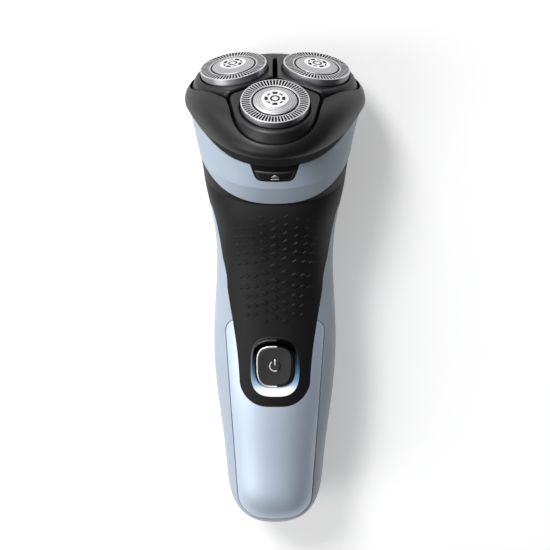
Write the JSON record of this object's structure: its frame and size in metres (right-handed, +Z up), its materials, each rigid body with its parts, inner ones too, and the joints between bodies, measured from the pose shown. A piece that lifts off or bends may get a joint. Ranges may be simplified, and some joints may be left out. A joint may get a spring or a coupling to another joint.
{
  "type": "rotary electric shaver",
  "caption": "Cordless rotary shaver lying on its back: a rubber-gripped handle with a lit power button and a pull-off head of tilting, floating round cutters.",
  "frame": {"origin": "on the floor under the middle of the shaver's outline", "axes": "+X to the shaver's right seen from the front, +Y along the handle towards the head, +Z up out of the front with the power button"},
  "size_m": [0.0593, 0.1658, 0.0555],
  "materials": {
    "blue_plastic": "moulded satin",
    "blue_gloss": "pearl lacquer",
    "black_rubber": "soft-touch moulding",
    "black_plastic": "moulded satin",
    "black_gloss": "polished",
    "chrome_trim": "plated",
    "clear_plastic": "translucent",
    "grey_rubber": "moulded",
    "steel": "machined",
    "guard_steel": "spun and polished",
    "board_green": "solder mask",
    "cell_jacket": "shrink film",
    "nickel": "nickel plated",
    "white_acetal": "moulded",
    "bronze": "sintered",
    "ferrite": "sintered"
  },
  "bodies": {
    "handle": {"body_shell": "blue_plastic", "front_panel": "blue_gloss", "collar": "blue_plastic", "grip": "black_rubber", "light_ring": "clear_plastic", "button_seal": "grey_rubber", "inner_frame": "black_plastic", "board_screws": "steel", "circuit_board": "board_green", "battery_cell": "cell_jacket", "battery_tabs": "nickel", "push_switch": "black_plastic", "indicator_leds": "clear_plastic", "socket_housing": "black_plastic", "socket_pins": "nickel", "gear_plate": "white_acetal", "gear_axles": "steel", "chamber_base": "blue_plastic", "chamber_gasket": "grey_rubber", "shaft_seals": "grey_rubber", "motor_bush": "bronze", "motor_can": "steel", "motor_magnets": "ferrite", "motor_cap": "black_plastic"},
    "rotor": {"motor_shaft": "steel", "motor_core": "ferrite", "motor_pinion": "white_acetal"},
    "head": {"head_shell": "black_plastic", "pod_carrier": "black_plastic", "pivot_pins": "steel", "head_screws": "steel", "latch_tongue": "black_plastic"},
    "power_button": {"power_button": "black_gloss", "button_ring": "chrome_trim"},
    "release_button": {"release_button": "black_plastic"},
    "drive_front": {"drive_front": "white_acetal"},
    "pod_front": {"pod_front": "black_plastic", "yoke_front": "black_plastic"},
    "guard_front": {"guard_front": "guard_steel"},
    "cutter_front": {"cutter_front": "steel", "cutter_hub_front": "white_acetal"},
    "drive_right": {"drive_right": "white_acetal"},
    "pod_right": {"pod_right": "black_plastic", "yoke_right": "black_plastic"},
    "guard_right": {"guard_right": "guard_steel"},
    "cutter_right": {"cutter_right": "steel", "cutter_hub_right": "white_acetal"},
    "drive_left": {"drive_left": "white_acetal"},
    "pod_left": {"pod_left": "black_plastic", "yoke_left": "black_plastic"},
    "guard_left": {"guard_left": "guard_steel"},
    "cutter_left": {"cutter_left": "steel", "cutter_hub_left": "white_acetal"}
  },
  "joints": [
    {"name": "motor_spin", "type": "hinge", "parent": "handle", "child": "rotor", "pos_m": [0, 0.04424, 0.01792], "axis": [0, 0.9455, 0.3256], "continuous": true},
    {"name": "drive_spin_front", "type": "hinge", "parent": "handle", "child": "drive_front", "pos_m": [0, 0.05377, 0.0363], "axis": [0, 0.9455, 0.3256], "continuous": true},
    {"name": "pod_tilt_front", "type": "hinge", "parent": "head", "child": "pod_front", "pos_m": [0, 0.06226, 0.03884], "axis": [1, 0, 0], "range_deg": [-3, 3], "stiffness_Nm_per_rad": 0.3},
    {"name": "guard_float_front", "type": "slide", "parent": "pod_front", "child": "guard_front", "axis": [0, -0.8796, -0.4756], "range_m": [0, 0.0006], "stiffness_N_per_m": 600, "springref_m": -0.0006},
    {"name": "cutter_spin_front", "type": "hinge", "parent": "guard_front", "child": "cutter_front", "pos_m": [0, 0.0722, 0.04422], "axis": [0, 0.8796, 0.4756], "continuous": true},
    {"name": "drive_spin_right", "type": "hinge", "parent": "handle", "child": "drive_right", "pos_m": [0.01236, 0.06075, 0.01606], "axis": [0, 0.9455, 0.3256], "continuous": true},
    {"name": "pod_tilt_right", "type": "hinge", "parent": "head", "child": "pod_right", "pos_m": [0.01205, 0.06906, 0.01911], "axis": [-0.5, 0.282, -0.8188], "range_deg": [-3, 3], "stiffness_Nm_per_rad": 0.3},
    {"name": "guard_float_right", "type": "slide", "parent": "pod_right", "child": "guard_right", "axis": [-0.1414, -0.9594, -0.244], "range_m": [0, 0.0006], "stiffness_N_per_m": 600, "springref_m": -0.0006},
    {"name": "cutter_spin_right", "type": "hinge", "parent": "guard_right", "child": "cutter_right", "pos_m": [0.01365, 0.0799, 0.02186], "axis": [0.1414, 0.9594, 0.244], "continuous": true},
    {"name": "drive_spin_left", "type": "hinge", "parent": "handle", "child": "drive_left", "pos_m": [-0.01236, 0.06075, 0.01606], "axis": [0, 0.9455, 0.3256], "continuous": true},
    {"name": "pod_tilt_left", "type": "hinge", "parent": "head", "child": "pod_left", "pos_m": [-0.01205, 0.06906, 0.01911], "axis": [-0.5, -0.282, 0.8188], "range_deg": [-3, 3], "stiffness_Nm_per_rad": 0.3},
    {"name": "guard_float_left", "type": "slide", "parent": "pod_left", "child": "guard_left", "axis": [0.1414, -0.9594, -0.244], "range_m": [0, 0.0006], "stiffness_N_per_m": 600, "springref_m": -0.0006},
    {"name": "cutter_spin_left", "type": "hinge", "parent": "guard_left", "child": "cutter_left", "pos_m": [-0.01365, 0.0799, 0.02186], "axis": [-0.1414, 0.9594, 0.244], "continuous": true},
    {"name": "head_pull", "type": "slide", "parent": "handle", "child": "head", "axis": [0, 0.9455, 0.3256], "range_m": [0, 0.024]},
    {"name": "release_press", "type": "slide", "parent": "handle", "child": "release_button", "axis": [0, 0.3746, -0.9272], "range_m": [0, 0.0012], "stiffness_N_per_m": 600, "springref_m": -0.0003},
    {"name": "power_press", "type": "slide", "parent": "handle", "child": "power_button", "axis": [0, 0, -1], "range_m": [0, 0.0005], "stiffness_N_per_m": 900, "springref_m": -0.0003}
  ],
  "couplings": [
    {"joint": "drive_spin_front", "follows": "motor_spin", "ratio": -0.93103},
    {"joint": "cutter_spin_front", "follows": "motor_spin", "ratio": -0.93103},
    {"joint": "drive_spin_right", "follows": "motor_spin", "ratio": -0.93103},
    {"joint": "cutter_spin_right", "follows": "motor_spin", "ratio": -0.93103},
    {"joint": "drive_spin_left", "follows": "motor_spin", "ratio": -0.93103},
    {"joint": "cutter_spin_left", "follows": "motor_spin", "ratio": -0.93103}
  ]
}
